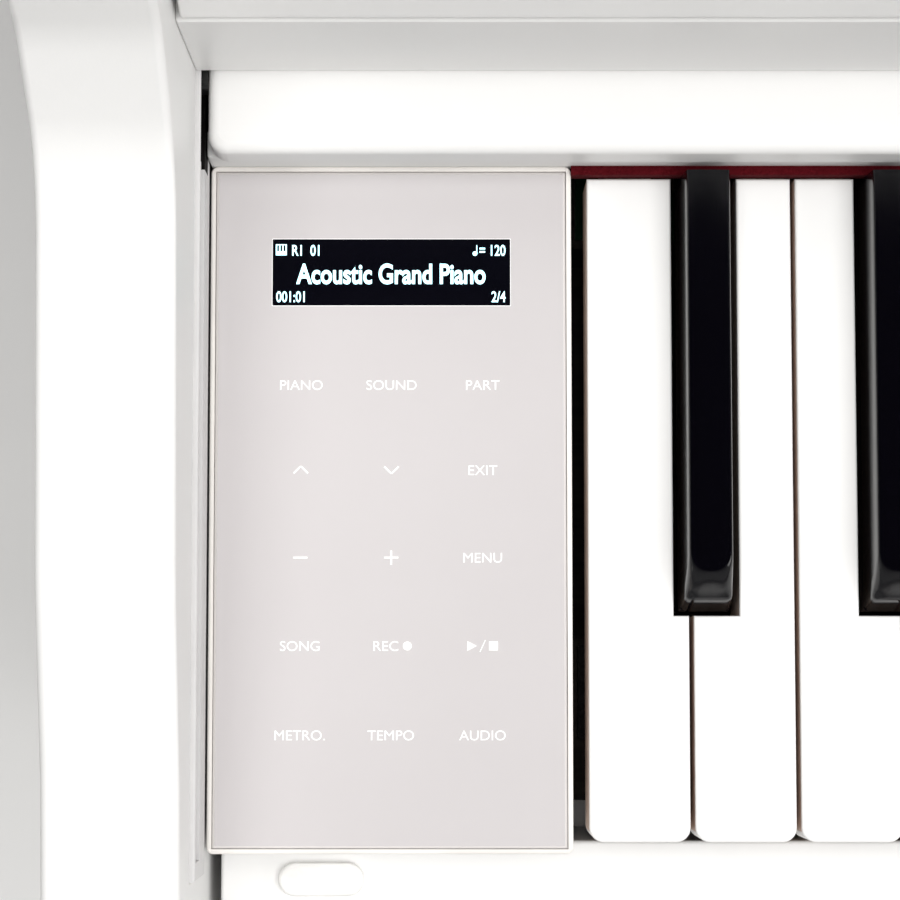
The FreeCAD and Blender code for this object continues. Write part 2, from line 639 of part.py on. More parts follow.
# ---------------------------------------------------------------- action and electronics
def key_frame():
    """Tray with the front, sensor, balance and back rails that the keys work on."""
    base = CASE_BOTTOM + 20
    x = KEYS_HALF + 1.0
    frame = box(-x, x, KEY_FRONT + 6, 190, base, base + 8)
    rails = [
        (-186, -160, FRONT_FELT_TOP - 5.5),
        (-66, -34, STICK_BOTTOM - 16),
        (PIVOT_Y - 12, PIVOT_Y + 12, PIVOT_Z - PIVOT_R),
        (34, 46, base + 16),
        (98, 108, base + 16),
        (120, 146, STICK_BOTTOM - 5.8),
    ]
    for y0, y1, top in rails:
        frame = frame.fuse(box(-x, x, y0, y1, base + 8, top))
    return frame.removeSplitter()


def balance_rod():
    """The rod that every key rocks on."""
    return cylinder(PIVOT_R, 2 * KEYS_HALF, (-KEYS_HALF, PIVOT_Y, PIVOT_Z), (1, 0, 0))


def rail_felts():
    """Cushion felts that the key fronts land on and the key tails rest on."""
    x = KEYS_HALF
    return [box(-x, x, -184, -162, FRONT_FELT_TOP - 5.5, FRONT_FELT_TOP),
            box(-x, x, 122, 144, STICK_BOTTOM - 5.8, STICK_BOTTOM - 0.3)]


def key_sensor_board():
    """Circuit board with a row of rubber contact domes, one under each key."""
    z = STICK_BOTTOM - 16
    board = box(-KEYS_HALF, KEYS_HALF, -64, -36, z, z + 1.6)
    for x in key_centres():
        board = board.fuse(box(x - 3, x + 3, -58, -46, z + 1.6, z + 8))
    return board


def hammers():
    """One weighted lever under the back of each key."""
    z = CASE_BOTTOM + 36
    out = []
    for x in key_centres():
        lever = box(x - 3.0, x + 3.0, 32, 114, z, z + 5)
        out.append(lever.fuse(box(x - 3.0, x + 3.0, 92, 114, z + 5, z + 16)).removeSplitter())
    return out


def main_board():
    """Main circuit board standing on spacers on the back panel."""
    y = BACK - 12
    board = box(-180, 180, y - 9, y - 7, 760, 880)
    for x in (-165, 165):
        for z in (775, 865):
            board = board.fuse(cylinder(4, 7, (x, y - 7, z), (0, 1, 0)))
    for x, z, size, height in ((-90, 820, 34, 3), (10, 800, 26, 3), (90, 840, 20, 2)):
        board = board.fuse(box(x, x + size, y - 9 - height, y - 9, z, z + size))
    return board


def power_supply():
    unit = box(330, 470, BACK - 57, BACK - 12, 760, 850)
    return rounded(unit, 3, lambda c, e: along(e, "y"))


def jack_panel():
    """Plate let into the back panel: a mains inlet and a row of signal sockets."""
    x0, x1, z0, z1 = JACK_PLATE
    plate = box(x0, x1, BACK - 4, BACK - 2, z0, z1)
    z = (z0 + z1) / 2
    for x in (-20.0, 15.0, 50.0, 85.0, 120.0):
        plate = plate.fuse(cylinder(6, 1.6, (x, BACK - 2, z), (0, 1, 0)))
        plate = plate.cut(cylinder(3.2, 3.1, (x, BACK - 3.4, z), (0, 1, 0)))
    plate = plate.fuse(box(-125, -90, BACK - 2, BACK - 0.4, z - 13, z + 13))
    plate = plate.cut(box(-121, -94, BACK - 3.4, BACK, z - 9, z + 9))
    return plate


def headphone_box():
    """Small housing under the key bed at the bass end with two headphone jacks."""
    x0, x1, y0 = -676.0, -606.0, FRONT + 30
    shell = box(x0, x1, y0, y0 + 70, CASE_BOTTOM - 26, CASE_BOTTOM)
    shell = rounded(shell, 4, lambda c, e: along(e, "z"))
    for x in HEADPHONE_X:
        shell = shell.cut(cylinder(JACK_R, 30, (x, y0 - 1, CASE_BOTTOM - 13), (0, 1, 0)))
    return shell


# ---------------------------------------------------------------- build
def main():
    os.makedirs(OUT, exist_ok=True)
    for old in os.listdir(OUT):
        os.remove(os.path.join(OUT, old))
    pairs = (("side_panels", side_panel), ("feet", foot), ("front_legs", front_leg),
             ("cheek_blocks", cheek_block), ("guide_rails", guide_rail),
             ("panel_bezels", cheek_bezel))
    for name, make in pairs:
        left = make()
        if name == "side_panels":
            save("left_side_panel", left)
            save("right_side_panel", mirrored(left))
        else:
            save(name, left, mirrored(left))
    single = (key_bed, key_slip, touch_glass, display_module, touch_sensor_board,
              right_panel_plate, power_button, volume_knob, fall_strip, key_felt, fascia,
              upper_panel, top_lid, back_panel, kick_board, key_cover, cover_roller_shaft,
              music_rest, rest_ledge, pedal_box, pedal_axle, height_adjuster, key_frame,
              balance_rod, key_sensor_board, main_board, power_supply, jack_panel, headphone_box)
    for make in single:
        save(make.__name__, make())
    grouped = (glides, slip_bumpers, woofers, woofer_grilles, cover_gliders, rest_hinges,
               rest_stays, rail_felts, hammers, pedal_springs)
    for make in grouped:
        save(make.__name__, *make())
    save("rest_fittings", *(rest_knuckles() + rest_lugs()))
    for name, x in zip(("soft_pedal", "middle_pedal", "damper_pedal"), PEDAL_X):
        save(name, pedal(x))
    save_keys()
    print(len(os.listdir(OUT)), "parts")


main()
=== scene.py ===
import json
import math

import bmesh
import bpy
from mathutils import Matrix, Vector


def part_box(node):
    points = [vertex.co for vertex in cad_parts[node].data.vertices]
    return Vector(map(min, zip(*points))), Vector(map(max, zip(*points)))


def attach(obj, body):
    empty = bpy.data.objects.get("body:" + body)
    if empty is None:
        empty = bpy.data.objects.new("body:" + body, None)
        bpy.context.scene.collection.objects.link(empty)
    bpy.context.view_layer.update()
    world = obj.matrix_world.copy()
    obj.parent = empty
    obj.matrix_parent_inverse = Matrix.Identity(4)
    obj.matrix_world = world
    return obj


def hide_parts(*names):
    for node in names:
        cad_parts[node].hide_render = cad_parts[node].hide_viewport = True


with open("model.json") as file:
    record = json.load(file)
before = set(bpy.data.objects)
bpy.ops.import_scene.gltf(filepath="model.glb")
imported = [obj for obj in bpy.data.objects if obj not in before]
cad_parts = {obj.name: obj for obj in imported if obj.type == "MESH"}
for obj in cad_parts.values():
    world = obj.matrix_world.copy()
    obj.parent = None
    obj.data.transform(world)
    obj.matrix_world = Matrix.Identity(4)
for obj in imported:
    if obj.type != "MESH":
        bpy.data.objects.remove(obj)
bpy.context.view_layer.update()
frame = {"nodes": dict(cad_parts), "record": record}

node_body = {n: body for body, nodes in frame["record"]["behaviour"]["bodies"].items() for n in nodes}
node_slot = {s["node"]: s["material_slot"] for s in frame["record"]["subparts"]}
scene = bpy.context.scene

MM = 0.001
GLASS_LOW, GLASS_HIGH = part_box("touch_glass")
KEY_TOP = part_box("key_A0")[1].z
KEY_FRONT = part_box("key_A0")[0].y
SEAM = 1.4 * MM        # thickness of a key's cover over its wooden stick
SKIRT = 2.2 * MM       # thickness of the cover where it turns down at a key's front
BLACK_DEPTH = 20 * MM  # how far down from the white keys' top a black key is painted
GROUND = 0.6 * MM      # width of the bevel ground on the glass's edge


# ---------------------------------------------------------------- materials
class Graph:
    """A material's node tree, with short calls for the nodes used here."""

    def __init__(self, name):
        self.material = bpy.data.materials.new(name)
        self.material.use_nodes = True
        self.tree = self.material.node_tree
        self.shader = self.tree.nodes["Principled BSDF"]
        self.coords = self.tree.nodes.new("ShaderNodeTexCoord").outputs["Object"]

    def add(self, kind, **settings):
        node = self.tree.nodes.new(kind)
        for key, value in settings.items():
            setattr(node, key, value)
        return node

    def link(self, a, b):
        self.tree.links.new(a, b)

    def stretched(self, scale):
        node = self.add("ShaderNodeMapping")
        node.inputs["Scale"].default_value = scale
        self.link(self.coords, node.inputs["Vector"])
        return node.outputs["Vector"]

    def split(self):
        """Sockets X, Y and Z of the place on the object, in metres."""
        node = self.add("ShaderNodeSeparateXYZ")
        self.link(self.coords, node.inputs["Vector"])
        return node.outputs

    def noise(self, scale, detail=4.0, rough=0.55, vector=None, distortion=0.0):
        node = self.add("ShaderNodeTexNoise")
        node.inputs["Scale"].default_value = scale
        node.inputs["Detail"].default_value = detail
        node.inputs["Roughness"].default_value = rough
        node.inputs["Distortion"].default_value = distortion
        self.link(vector if vector is not None else self.coords, node.inputs["Vector"])
        return node.outputs["Fac"]

    def ramp(self, value, stops):
        node = self.add("ShaderNodeValToRGB")
        ramp = node.color_ramp
        while len(ramp.elements) < len(stops):
            ramp.elements.new(0.5)
        for element, (place, colour) in zip(ramp.elements, stops):
            element.position = place
            element.color = tuple(colour) + (1.0,)
        self.link(value, node.inputs["Fac"])
        return node.outputs["Color"]

    def spread(self, value, low, high, start=0.0, end=1.0):
        node = self.add("ShaderNodeMapRange")
        node.inputs["From Min"].default_value = start
        node.inputs["From Max"].default_value = end
        node.inputs["To Min"].default_value = low
        node.inputs["To Max"].default_value = high
        self.link(value, node.inputs["Value"])
        return node.outputs["Result"]

    def mix(self, factor, a, b):
        node = self.add("ShaderNodeMix", data_type="RGBA")
        self.link(factor, node.inputs["Factor"])
        for socket, value in ((node.inputs["A"], a), (node.inputs["B"], b)):
            if isinstance(value, tuple):
                socket.default_value = value + (1.0,)
            else:
                self.link(value, socket)
        return node.outputs["Result"]

    def math(self, operation, a, b):
        node = self.add("ShaderNodeMath", operation=operation)
        for socket, value in zip(node.inputs, (a, b)):
            if isinstance(value, (int, float)):
                socket.default_value = value
            else:
                self.link(value, socket)
        return node.outputs["Value"]

    def bump(self, height, strength, distance, after=None):
        node = self.add("ShaderNodeBump")
        node.inputs["Strength"].default_value = strength
        node.inputs["Distance"].default_value = distance
        self.link(height, node.inputs["Height"])
        if after is not None:
            self.link(after, node.inputs["Normal"])
        return node.outputs["Normal"]

    def set(self, **values):
        names = {
            "base": "Base Color", "rough": "Roughness", "metal": "Metallic", "normal": "Normal",
            "coat": "Coat Weight", "coat_rough": "Coat Roughness", "sheen": "Sheen Weight",
            "sheen_rough": "Sheen Roughness", "ior": "IOR", "specular": "Specular IOR Level",
            "glow": "Emission Color", "glow_strength": "Emission Strength",
        }
        for key, value in values.items():
            socket = self.shader.inputs[names[key]]
            if isinstance(value, (int, float)):
                socket.default_value = value
            elif isinstance(value, tuple):
                socket.default_value = value + (1.0,)
            else:
                self.link(value, socket)
        return self.material


def sharp_edge_share(g):
    """0 on flat faces, up to 1 on sharp outer edges."""
    point = g.add("ShaderNodeNewGeometry").outputs["Pointiness"]
    return g.spread(point, 0.0, 1.0, 0.5, 0.56)


def satin_paint(name, along, white=(0.865, 0.86, 0.85)):
    """White satin paint over veneer, its faint grain running along one axis."""
    g = Graph(name)
    stretch = [260.0, 260.0, 260.0]
    stretch["xyz".index(along)] = 5.0
    grain = g.noise(1.0, 6.0, 0.6, g.stretched(stretch), 0.4)
    pores = g.noise(2.6, 3.0, 0.7, g.stretched([v * 1.7 for v in stretch]))
    cloud = g.noise(3.0, 2.0)
    shade = g.math("ADD", g.spread(grain, -0.02, 0.02), g.spread(cloud, -0.012, 0.012))
    value = g.math("ADD", shade, 0.5)
    dark = tuple(c * 0.88 for c in white)
    light = tuple(min(1.0, c * 1.10) for c in white)
    base = g.ramp(value, [(0.3, dark), (0.7, light)])
    normal = g.bump(pores, 0.10, 0.0002)
    normal = g.bump(g.noise(900.0, 2.0), 0.05, 0.00008, normal)
    rough = g.spread(grain, 0.34, 0.46)
    return g.set(base=base, rough=rough, normal=normal, specular=0.45)


def speckled(name, colour, low, high, scale, bump, metal=0.0, **more):
    """Plain moulded, cast or rubbed stuff: slight mottling, uneven gloss and a fine texture."""
    g = Graph(name)
    tone = g.noise(scale, 4.0)
    dark = tuple(c * 0.86 for c in colour)
    light = tuple(min(1.0, c * 1.12) for c in colour)
    # lighter towards sharp outer edges
    base = g.mix(sharp_edge_share(g), g.ramp(tone, [(0.3, dark), (0.7, light)]), light)
    normal = g.bump(g.noise(scale * 12.0, 3.0), bump, 0.0003)
    rough = g.spread(g.noise(scale * 2.5, 3.0), low, high)
    return g.set(base=base, rough=rough, normal=normal, metal=metal, **more)


def brushed(name, colour, along, low, high):
    """Metal with fine lines along one axis and a few rubbed patches."""
    g = Graph(name)
    stretch = [1400.0, 1400.0, 1400.0]
    stretch["xyz".index(along)] = 14.0
    lines = g.noise(1.0, 4.0, 0.7, g.stretched(stretch))
    patch = g.noise(9.0, 3.0)
    dark = tuple(c * 0.8 for c in colour)
    base = g.mix(g.spread(lines, 0.2, 1.0), dark, colour)
    rough = g.math("ADD", g.spread(lines, low, high), g.spread(patch, -0.05, 0.07))
    return g.set(base=base, rough=rough, metal=1.0, normal=g.bump(lines, 0.12, 0.0001))


def felt(name, colour, nap, fuzz):
    """Pressed felt: a nap of fine fibres with lighter fuzz on top."""
    g = Graph(name)
    fibre = g.noise(nap, 6.0, 0.75, distortion=1.4)
    tuft = g.noise(nap * 0.22, 3.0)
    dark = tuple(c * 0.55 for c in colour)
    light = tuple(min(1.0, c * 1.5 + 0.01) for c in colour)
    base = g.ramp(g.math("ADD", fibre, g.spread(tuft, -0.12, 0.12)), [(0.3, dark), (0.72, light)])
    normal = g.bump(fibre, 0.8, 0.0006)
    return g.set(base=base, rough=0.95, normal=normal, sheen=fuzz, sheen_rough=0.5, specular=0.1)


def woven(name, colour, pitch):
    """Grille cloth: crossing threads from two sets of bands."""
    g = Graph(name)
    place = g.split()
    turn = math.tau / pitch
    across = g.math("SINE", g.math("MULTIPLY", place["X"], turn), 0.0)
    up = g.math("SINE", g.math("MULTIPLY", place["Z"], turn), 0.0)
    weave = g.math("MULTIPLY", across, up)
    dark = tuple(c * 0.5 for c in colour)
    base = g.ramp(g.spread(weave, 0.0, 1.0, -1.0, 1.0), [(0.2, dark), (0.8, colour)])
    return g.set(base=base, rough=0.9, normal=g.bump(weave, 0.6, 0.0006), sheen=0.2)


def raw_wood(name, dark, light, along):
    """Bare spruce: straight grain lines with darker late wood."""
    g = Graph(name)
    stretch = [420.0, 420.0, 420.0]
    stretch["xyz".index(along)] = 9.0
    lines = g.noise(1.0, 5.0, 0.6, g.stretched(stretch), 0.3)
    base = g.ramp(lines, [(0.32, dark), (0.66, light)])
    return g.set(base=base, rough=g.spread(lines, 0.55, 0.75), normal=g.bump(lines, 0.25, 0.0003))


def key_cover_material(name, cover, low, high, covered_from):
    """A key: its moulded cover on top and down the front, bare wood everywhere below."""
    g = Graph(name)
    place = g.split()
    top = g.math("GREATER_THAN", place["Z"], covered_from)
    front = g.math("LESS_THAN", place["Y"], KEY_FRONT + SKIRT)
    covered = g.math("MAXIMUM", top, front)
    lines = g.noise(1.0, 5.0, 0.6, g.stretched([420.0, 9.0, 420.0]), 0.3)
    wood = g.ramp(lines, [(0.3, (0.60, 0.45, 0.37)), (0.7, (0.76, 0.63, 0.55))])
    tone = g.noise(60.0, 3.0)
    skin = g.ramp(tone, [(0.3, tuple(c * 0.985 for c in cover)), (0.7, cover)])
    grain = g.noise(1.0, 5.0, 0.65, g.stretched([1300.0, 60.0, 1300.0]), 0.6)
    normal = g.bump(grain, 0.10, 0.00012)
    smooth = g.spread(grain, low, high)
    rough = g.add("ShaderNodeMix", data_type="FLOAT")
    g.link(covered, rough.inputs["Factor"])
    rough.inputs["A"].default_value = 0.7
    g.link(smooth, rough.inputs["B"])
    return g.set(base=g.mix(covered, wood, skin), rough=rough.outputs["Result"], normal=normal,
                 specular=0.5)


def painted_glass(name):
    """Clear glass over pale grey paint: soft clouding below, the ground edge painted lighter as the
    bevel's highlight, faint dust.
    """
    g = Graph(name)
    cloud = g.noise(14.0, 3.0)
    paint = g.ramp(cloud, [(0.3, (0.600, 0.572, 0.576)), (0.7, (0.622, 0.594, 0.598))])
    place = g.split()
    ground = 0.0
    for side, axis, edge in (
        ("LESS_THAN", "X", GLASS_LOW.x + GROUND),
        ("LESS_THAN", "Y", GLASS_LOW.y + GROUND),
        ("GREATER_THAN", "X", GLASS_HIGH.x - GROUND),
        ("GREATER_THAN", "Y", GLASS_HIGH.y - GROUND),
    ):
        ground = g.math("MAXIMUM", g.math(side, place[axis], edge), ground)
    # painted highlight: the bevel's ground edge drawn lighter than the paint
    base = g.mix(ground, paint, (0.77, 0.745, 0.74))
    dust = g.noise(420.0, 5.0, 0.8)
    rough = g.spread(dust, 0.10, 0.24, 0.55, 0.9)
    return g.set(base=base, rough=rough, coat=0.6, coat_rough=0.06, ior=1.5)


def lit(name, colour, strength):
    """A lit mark on the display, a little uneven like real segments."""
    g = Graph(name)
    flicker = g.noise(900.0, 2.0)
    dim = tuple(c * 0.82 for c in colour)
    return g.set(base=colour, rough=0.4, glow=g.ramp(flicker, [(0.3, dim), (0.7, colour)]),
                 glow_strength=strength)


# where the painted shade on the guide rails reaches to
SHADE_DEPTH = 2.8 * MM  # past the cover's end
SHADE_AHEAD = 2.0 * MM  # ahead of the open cover's front
SHADE_DOWN = 0.4 * MM   # its top, below the rail's top
SHADE_UNDER = 6.0 * MM  # its foot, below the cover's


def rail_with_painted_shade(name, white):
    """A white guide rail, painted near black with a fibre-like grain where the open cover's ends run
    in it, as the shade in that gap.
    """
    g = Graph(name)
    place = g.split()
    cover_low, cover_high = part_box("key_cover")
    rail_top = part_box("guide_rails")[1].z
    off_centre = g.math("ABSOLUTE", place["X"], 0.0)
    inside = g.math("LESS_THAN", off_centre, cover_high.x + SHADE_DEPTH)
    behind = g.math("GREATER_THAN", place["Y"], cover_low.y - SHADE_AHEAD)
    below = g.math("LESS_THAN", place["Z"], rail_top - SHADE_DOWN)
    above = g.math("GREATER_THAN", place["Z"], cover_low.z - SHADE_UNDER)
    # painted shade: near black in the gap beside the open cover's ends and down into the rail's track
    painted_shade = g.math("MULTIPLY", g.math("MULTIPLY", inside, behind), g.math("MULTIPLY", below, above))
    fibre = g.noise(1500.0, 5.0, 0.7)
    dark = g.ramp(fibre, [(0.3, (0.004, 0.003, 0.003)), (0.7, (0.012, 0.010, 0.010))])
    tone = g.ramp(g.noise(40.0, 4.0), [(0.3, tuple(c * 0.95 for c in white)), (0.7, white)])
    rough = g.spread(painted_shade, 0.4, 0.95)
    return g.set(base=g.mix(painted_shade, tone, dark), rough=rough, normal=g.bump(fibre, 0.05, 0.0001),
                 specular=0.3)


PAINT = {axis: satin_paint("cabinet_white_" + axis, axis) for axis in "xyz"}
RAIL = rail_with_painted_shade("rail_with_painted_shade", (0.72, 0.71, 0.71))
MATERIALS = {
    "cabinet_white": PAINT["x"],
    "key_white": key_cover_material("key_white", (0.93, 0.925, 0.915), 0.30, 0.44, KEY_TOP - SEAM),
    "key_black": key_cover_material("key_black", (0.0012, 0.0010, 0.0022), 0.10, 0.18,
                                    KEY_TOP - BLACK_DEPTH),
    "cream_trim": speckled("cream_trim", (0.82, 0.79, 0.755), 0.32, 0.45, 40.0, 0.05),
    "panel_glass": painted_glass("panel_glass"),
    "display_dark": speckled("display_dark", (0.002, 0.002, 0.004), 0.12, 0.2, 50.0, 0.02,
                             specular=0.12),
    # the circuit board's green is darkened near black as painted shade, deep below the keys
    "circuit_green": speckled("circuit_green", (0.008, 0.045, 0.02), 0.3, 0.5, 90.0, 0.2),
    "felt_red": felt("felt_red", (0.098, 0.0006, 0.0045), 1500.0, 0.02),
    "action_felt": felt("action_felt", (0.018, 0.017, 0.017), 900.0, 0.1),
    # the key frame's wood is drawn near black as painted shade deep in the gaps between the keys
    "action_wood": raw_wood("action_wood", (0.020, 0.017, 0.015), (0.045, 0.038, 0.033), "x"),
    "steel": brushed("steel", (0.55, 0.55, 0.56), "x", 0.22, 0.4),
    "weight_iron": speckled("weight_iron", (0.09, 0.09, 0.09), 0.5, 0.7, 80.0, 0.4, metal=0.8),
    "pedal_brass": brushed("pedal_brass", (0.75, 0.54, 0.24), "y", 0.16, 0.3),
    "white_rubber": speckled("white_rubber", (0.84, 0.83, 0.81), 0.5, 0.65, 120.0, 0.1),
    "grey_rubber": speckled("grey_rubber", (0.06, 0.06, 0.06), 0.6, 0.8, 100.0, 0.3),
    "white_plastic": speckled("white_plastic", (0.83, 0.82, 0.80), 0.3, 0.42, 60.0, 0.05),
    "black_plastic": speckled("black_plastic", (0.012, 0.012, 0.012), 0.35, 0.5, 80.0, 0.1),
    "grille_cloth": woven("grille_cloth", (0.62, 0.61, 0.59), 1.6 * MM),
}
# axis of the grain under the white paint, on nodes where it isn't the keyboard's x
GRAIN = {
    "left_side_panel": "y", "right_side_panel": "y", "feet": "y", "front_legs": "z",
    "cheek_blocks": "y",
}
GLOW = lit("display_glow", (0.55, 0.93, 1.0), 1.6)
PRINT = speckled("panel_print", (0.95, 0.95, 0.94), 0.4, 0.5, 200.0, 0.0)


def material_for(node):
    # the cover's gliders are drawn in black plastic rather than their white slot, as painted shade in
    # the gap at the cover's ends
    special = {"guide_rails": RAIL, "cover_gliders": MATERIALS["black_plastic"]}
    if node in special:
        return special[node]
    return PAINT[GRAIN[node]] if node in GRAIN else MATERIALS[node_slot[node]]


# ---------------------------------------------------------------- pieces
SMOOTH_BELOW = math.radians(35)    # faces that meet at less than this are shaded as one
FLAT = math.radians(0.4)           # faces that meet at less than this are joined before easing
HARD = math.radians(38)            # edges sharper than this are eased
CORNER_STEPS = 5
INK = 0.04 * MM                    # thickness of print and of lit marks
CAPS_SHARE = 0.70                  # a capital's height over the typeface's size


def piece(name, mesh, body, material):
    """A finished mesh as a piece of the object, riding on one CAD body."""
    for face in mesh.polygons:
        face.use_smooth = True
    obj = bpy.data.objects.new(name, mesh)
    scene.collection.objects.link(obj)
    mesh.materials.clear()
    mesh.materials.append(material)
    mesh.set_sharp_from_angle(angle=SMOOTH_BELOW)
    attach(obj, body)
    return obj


def eased(node, width):
    """A CAD node's shape with its hard edges rounded by width, in its place."""
    bm = bmesh.new()
    bm.from_mesh(frame["nodes"][node].data)
    bmesh.ops.remove_doubles(bm, verts=bm.verts, dist=1e-6)
    bmesh.ops.dissolve_limit(bm, angle_limit=FLAT, verts=bm.verts, edges=bm.edges)
    hard = [e for e in bm.edges if len(e.link_faces) == 2 and e.calc_face_angle(0.0) > HARD]
    bmesh.ops.bevel(bm, geom=hard, offset=width, segments=3, profile=0.5,
                    affect="EDGES", clamp_overlap=True)
    bmesh.ops.triangulate(bm, faces=[f for f in bm.faces if len(f.verts) > 4])
    obj = finish_bmesh(bm, node + "_eased", node_body[node], material_for(node))
    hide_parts(node)
    modifier = obj.modifiers.new("even_shading", "WEIGHTED_NORMAL")
    modifier.keep_sharp = True


def slab(x0, x1, y0, y1, z0, z1, corner):
    """A flat slab with corners rounded in plan, or sharp where corner is 0, as a bmesh."""
    bm = bmesh.new()
    ring = []
    for cx, cy, start in ((x1 - corner, y1 - corner, 0), (x0 + corner, y1 - corner, 90),
                          (x0 + corner, y0 + corner, 180), (x1 - corner, y0 + corner, 270)):
        for i in range(CORNER_STEPS + 1):
            a = math.radians(start + 90 * i / CORNER_STEPS)
            spot = (round(cx + corner * math.cos(a), 7), round(cy + corner * math.sin(a), 7))
            if spot not in ring:
                ring.append(spot)
    bottom = bm.faces.new([bm.verts.new((x, y, z0)) for x, y in ring])
    made = bmesh.ops.extrude_face_region(bm, geom=[bottom])
    top_verts = [v for v in made["geom"] if isinstance(v, bmesh.types.BMVert)]
    bmesh.ops.translate(bm, verts=top_verts, vec=(0, 0, z1 - z0))
    bmesh.ops.recalc_face_normals(bm, faces=bm.faces)
    return bm


def finish_bmesh(bm, name, body, material):
    mesh = bpy.data.meshes.new(name)
    bm.to_mesh(mesh)
    bm.free()
    return piece(name, mesh, body, material)


def flat_mesh(polygons, z, thickness):
    """Thin solid marks from lists of (x, y) outlines."""
    bm = bmesh.new()
    for outline in polygons:
        face = bm.faces.new([bm.verts.new((x, y, z)) for x, y in outline])
        face.normal_update()
        if face.normal.z < 0:
            face.normal_flip()
        made = bmesh.ops.extrude_face_region(bm, geom=[face])
        verts = [v for v in made["geom"] if isinstance(v, bmesh.types.BMVert)]
        bmesh.ops.translate(bm, verts=verts, vec=(0, 0, thickness))
    bmesh.ops.recalc_face_normals(bm, faces=bm.faces)
    return bm


def text_mesh(words, x, y, z, cap_height, align="CENTER", stretch=1.0, weight=0.0):
    """Words as a mesh lying on the panel: (x, y) is the middle of the line's cap height."""
    curve = bpy.data.curves.new("words", "FONT")
    curve.body = words
    curve.size = cap_height / CAPS_SHARE
    curve.align_x = align
    curve.extrude = INK / 2
    curve.offset = weight
    curve.resolution_u = 6
    holder = bpy.data.objects.new("words", curve)
    scene.collection.objects.link(holder)
    bpy.context.view_layer.update()
    mesh = bpy.data.meshes.new_from_object(holder.evaluated_get(bpy.context.evaluated_depsgraph_get()))
    bpy.data.objects.remove(holder)
    bpy.data.curves.remove(curve)
    for v in mesh.vertices:
        v.co = Vector((x + v.co.x * stretch, y - cap_height / 2 + v.co.y, z + INK / 2 + v.co.z))
    return mesh


def bar(x0, x1, y0, y1):
    return [(x0, y0), (x1, y0), (x1, y1), (x0, y1)]


def disc(x, y, radius, count=20):
    return [(x + radius * math.cos(math.tau * i / count), y + radius * math.sin(math.tau * i / count))
            for i in range(count)]


def stroke(points, half):
    """Outlines of straight strokes through points, each half wide on both sides."""
    out = []
    for (ax, ay), (bx, by) in zip(points, points[1:]):
        length = math.hypot(bx - ax, by - ay)
        nx, ny = -(by - ay) / length * half, (bx - ax) / length * half
        out.append([(ax + nx, ay + ny), (bx + nx, by + ny), (bx - nx, by - ny), (ax - nx, ay - ny)])
    return out


def joined(name, meshes, material):
    """Several meshes as one piece of the cabinet."""
    bm = bmesh.new()
    for mesh in meshes:
        bm.from_mesh(mesh)
        bpy.data.meshes.remove(mesh)
    return finish_bmesh(bm, name, "cabinet", material)


# ---------------------------------------------------------------- carried-over CAD nodes
for name, node in frame["nodes"].items():
    node.data.materials.clear()
    node.data.materials.append(material_for(name))

# edge roundings, in millimetres
EASED = {
    "top_lid": 1.2, "key_slip": 1.0, "fascia": 0.6, "upper_panel": 0.6, "back_panel": 0.8,
    "kick_board": 0.8, "feet": 1.2, "front_legs": 1.0, "music_rest": 0.8, "rest_ledge": 0.8,
    "pedal_box": 1.0, "key_bed": 0.8, "cheek_blocks": 0.5, "headphone_box": 0.8,
    "fall_strip": 0.4, "power_supply": 0.8, "jack_panel": 0.3,
    "left_side_panel": 0.8, "right_side_panel": 0.8,
}
for name, width in EASED.items():
    eased(name, width * MM)

# ---------------------------------------------------------------- black keys
# levels of a black key's cover, in millimetres: height over the white keys, half width,
# how far the front stands back from the base, and how square it is (2 is round)
CAP = (
    (-5.0, 5.60, 0.0, 9.0),
    (1.0, 5.48, 1.1, 8.5),
    (4.7, 5.30, 2.0, 8.0),
    (5.2, 5.26, 2.3, 7.0),
    (5.7, 5.22, 2.8, 6.0),
    (7.5, 5.10, 4.2, 4.6),
    (9.2, 4.99, 5.5, 3.6),
    (10.6, 4.89, 6.7, 2.9),
    (11.3, 4.79, 7.4, 2.5),
    (11.7, 4.66, 7.9, 2.25),
    (11.9, 4.52, 8.2, 2.1),
    (12.0, 4.32, 8.5, 2.0),
)
NOSE = 4.4 * MM                        # length over which a black key's front rounds in
ACROSS = 21                            # points across the front
BASE_HALF, STICK_HALF = 5.6 * MM, 5.0 * MM
BASE_UP = 10 * MM                      # the base's underside over the stick's
CAP_FOOT, STICK_DOWN = 5 * MM, 3 * MM  # their tops, below the white keys' top
STICK_IN = 2 * MM                      # the stick's front, behind the base's


def cap_ring(bm, x, front, back, level):
    """One level of a black key's cover: straight sides and a front between square and round."""
    rise, half, inset, square = level
    z, half, tip = KEY_TOP + rise * MM, half * MM, front + inset * MM
    outline = [(x - half, back)]
    for i in range(ACROSS):
        across = math.sin((i / (ACROSS - 1) - 0.5) * math.pi)
        rounding = 1.0 - (1.0 - min(1.0, abs(across)) ** square) ** (1.0 / square)
        outline.append((x + half * across, tip + NOSE * rounding))
    outline.append((x + half, back))
    return [bm.verts.new((px, py, z)) for px, py in outline]


def beam(bm, x, half, y0, y1, z0, z1, edge):
    """A bar along a key with its edges eased."""
    made = bmesh.ops.create_cube(bm, size=1.0)["verts"]
    for v in made:
        v.co = Vector((x + math.copysign(half, v.co.x), y0 if v.co.y < 0 else y1,
                       z0 if v.co.z < 0 else z1))
    edges = [e for e in bm.edges if all(v in made for v in e.verts)]
    bmesh.ops.bevel(bm, geom=edges, offset=edge, segments=2, profile=0.5, affect="EDGES")


